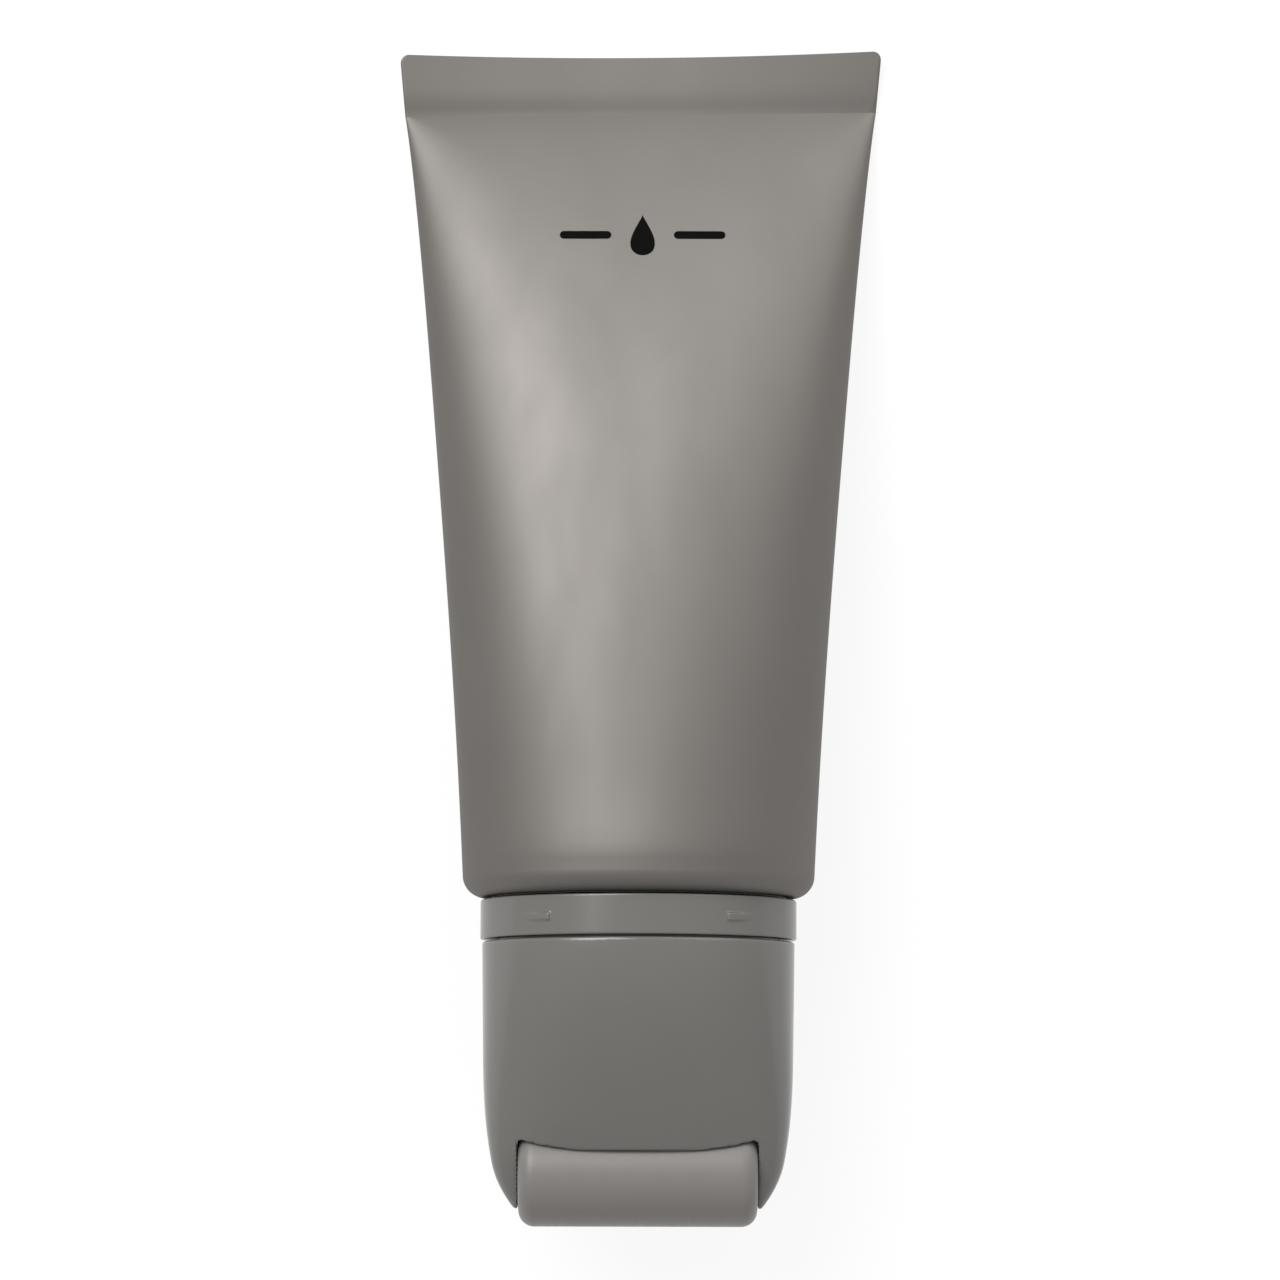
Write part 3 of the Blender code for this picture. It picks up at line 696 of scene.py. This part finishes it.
def make_housing(surface):
    step, margin = ((0.295, 1.17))
    low = np.array([-HOUSING_HALF_WIDTH, HOUSING_TIP, -HOUSING_HALF_DEPTH]) - margin
    high = np.array([HOUSING_HALF_WIDTH + 1, HOUSING_TOP + 1, HOUSING_HALF_DEPTH + 1])
    points, quads = surface_of(housing_field, low, high, step)
    points = settle_on(housing_field, points, quads, step)
    return mesh_piece("head_housing_shell", points, quads.tolist(), surface, sharp_degrees=50.0)


def turned_ring(radius, x, count=160):
    angle = np.linspace(0.0, 2 * math.pi, count, endpoint=False)
    y, z = ROLLER_Y + radius * np.cos(angle), radius * np.sin(angle)
    return np.stack([np.full(count, x), y, z], axis=1)


def make_roller(surface):
    half = [(ROLLER_BORE, ROLLER_HALF_LENGTH - 0.3), (ROLLER_BORE + 0.3, ROLLER_HALF_LENGTH)]
    middle_radius = ROLLER_RADIUS - ROLLER_EDGE_RADIUS
    straight = ROLLER_HALF_LENGTH - ROLLER_EDGE_RADIUS
    for cosine, sine in arc(16, 90, 0):
        half.append((middle_radius + ROLLER_EDGE_RADIUS * cosine, straight + ROLLER_EDGE_RADIUS * sine))
    barrel = [(ROLLER_RADIUS, x) for x in np.linspace(straight, -straight, 24)[1:-1]]
    profile = half + barrel + [(radius, -x) for radius, x in half[::-1]]
    return skin("roller_barrel", [turned_ring(radius, x) for radius, x in profile], surface, flip=True)


# The studio.

CAMERA_DISTANCE = 450.0
CAMERA_LEAN = math.radians(1.3)
CAMERA_ROLL = math.radians(0.15)
CAMERA_LENS = 99.1
AIMED_AT = 32.95


def make_camera():
    """Looks almost straight down on the lying tube, with the crimp at the top of the picture."""
    data = bpy.data.cameras.new("camera")
    data.lens = CAMERA_LENS
    data.sensor_width = 36.0
    camera = bpy.data.objects.new("camera", data)
    bpy.context.scene.collection.objects.link(camera)
    back = Vector((0.0, math.sin(CAMERA_LEAN), math.cos(CAMERA_LEAN)))
    right = Matrix.Rotation(CAMERA_ROLL, 3, back) @ Vector((1.0, 0.0, 0.0))
    turned = Matrix((right, back.cross(right), back)).transposed().to_4x4()
    target = Vector(in_place([[0.1, AIMED_AT, 0.0]])[0])
    camera.matrix_world = Matrix.Translation(target + back * CAMERA_DISTANCE * MM) @ turned
    bpy.context.scene.camera = camera


def make_floor():
    mesh = bpy.data.meshes.new("floor")
    half = 2.5
    corners = [(-half, -half, 0), (half, -half, 0), (half, half, 0), (-half, half, 0)]
    mesh.from_pydata(corners, [], [(0, 1, 2, 3)])
    paper = Surface("floor_paper", (0.12, 0.12, 0.12), 0.8, Specular_IOR_Level=0.2)
    paper.shader.inputs["Emission Color"].default_value = (1.0, 1.0, 1.0, 1.0)
    paper.shader.inputs["Emission Strength"].default_value = 0.86
    paper.vary_colour(paper.noise(0.02), 0.004)
    mesh.materials.append(paper.material)
    floor = bpy.data.objects.new("floor", mesh)
    floor.visible_diffuse = False
    bpy.context.scene.collection.objects.link(floor)


def softbox(name, lean_degrees, bearing_degrees, size, watts):
    """A square soft light a metre from the tube, leaning off the vertical towards a bearing from +X."""
    lean, bearing = math.radians(lean_degrees), math.radians(bearing_degrees)
    towards = Vector((math.cos(bearing), math.sin(bearing), 0.0))
    way = math.sin(lean) * towards + math.cos(lean) * Vector((0.0, 0.0, 1.0))
    data = bpy.data.lights.new(name, "AREA")
    data.shape = "SQUARE"
    data.size = size
    data.energy = watts
    light = bpy.data.objects.new(name, data)
    light.location = way + Vector((0.0, 0.0, 0.015))
    light.rotation_euler = way.to_track_quat("Z", "Y").to_euler()
    bpy.context.scene.collection.objects.link(light)


def make_lights():
    world = bpy.data.worlds.new("studio")
    world.use_nodes = True
    background = world.node_tree.nodes["Background"]
    background.inputs["Color"].default_value = (1.0, 1.0, 1.0, 1.0)
    background.inputs["Strength"].default_value = 0.66
    bpy.context.scene.world = world
    softbox("key_light", 43.0, 124.0, 0.58, 9.3)
    softbox("side_light", 66.0, 56.0, 0.78, 3.2)
    bpy.context.scene.view_settings.view_transform = "Standard"


def place(pieces, body, slot, *nodes):
    """Each piece rides on the body; the slot argument is not used. The first stands for the CAD nodes.
    """
    for piece in pieces:
        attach(piece, body)
    if nodes:
        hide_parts(*nodes)


def main():
    make_camera()
    make_floor()
    make_lights()
    film = film_surface()
    head = moulded_surface("head_plastic", (0.123, 0.1175, 0.110), 0.22)
    place([make_sleeve(film)], "tube", "tube_film", "tube_sleeve")
    place(make_print(ink_surface()), "tube", "tube_film")
    place([make_collar(head)], "tube", "head_plastic", "head_collar")
    place([make_housing(head)], "tube", "head_plastic", "head_housing")
    place([make_roller(roller_surface())], "roller", "roller_coating", "roller_shell")
    hidden = inner_surfaces()
    hidden["head_plastic"] = head
    place([make_cream(hidden["cream"])], "tube", "cream", "cream_fill")
    slots = {entry["node"]: entry["material_slot"] for entry in frame["record"]["subparts"]}
    for name, node in frame["nodes"].items():
        if slots[name] in hidden:
            node.data.materials.clear()
            node.data.materials.append(hidden[slots[name]])


main()
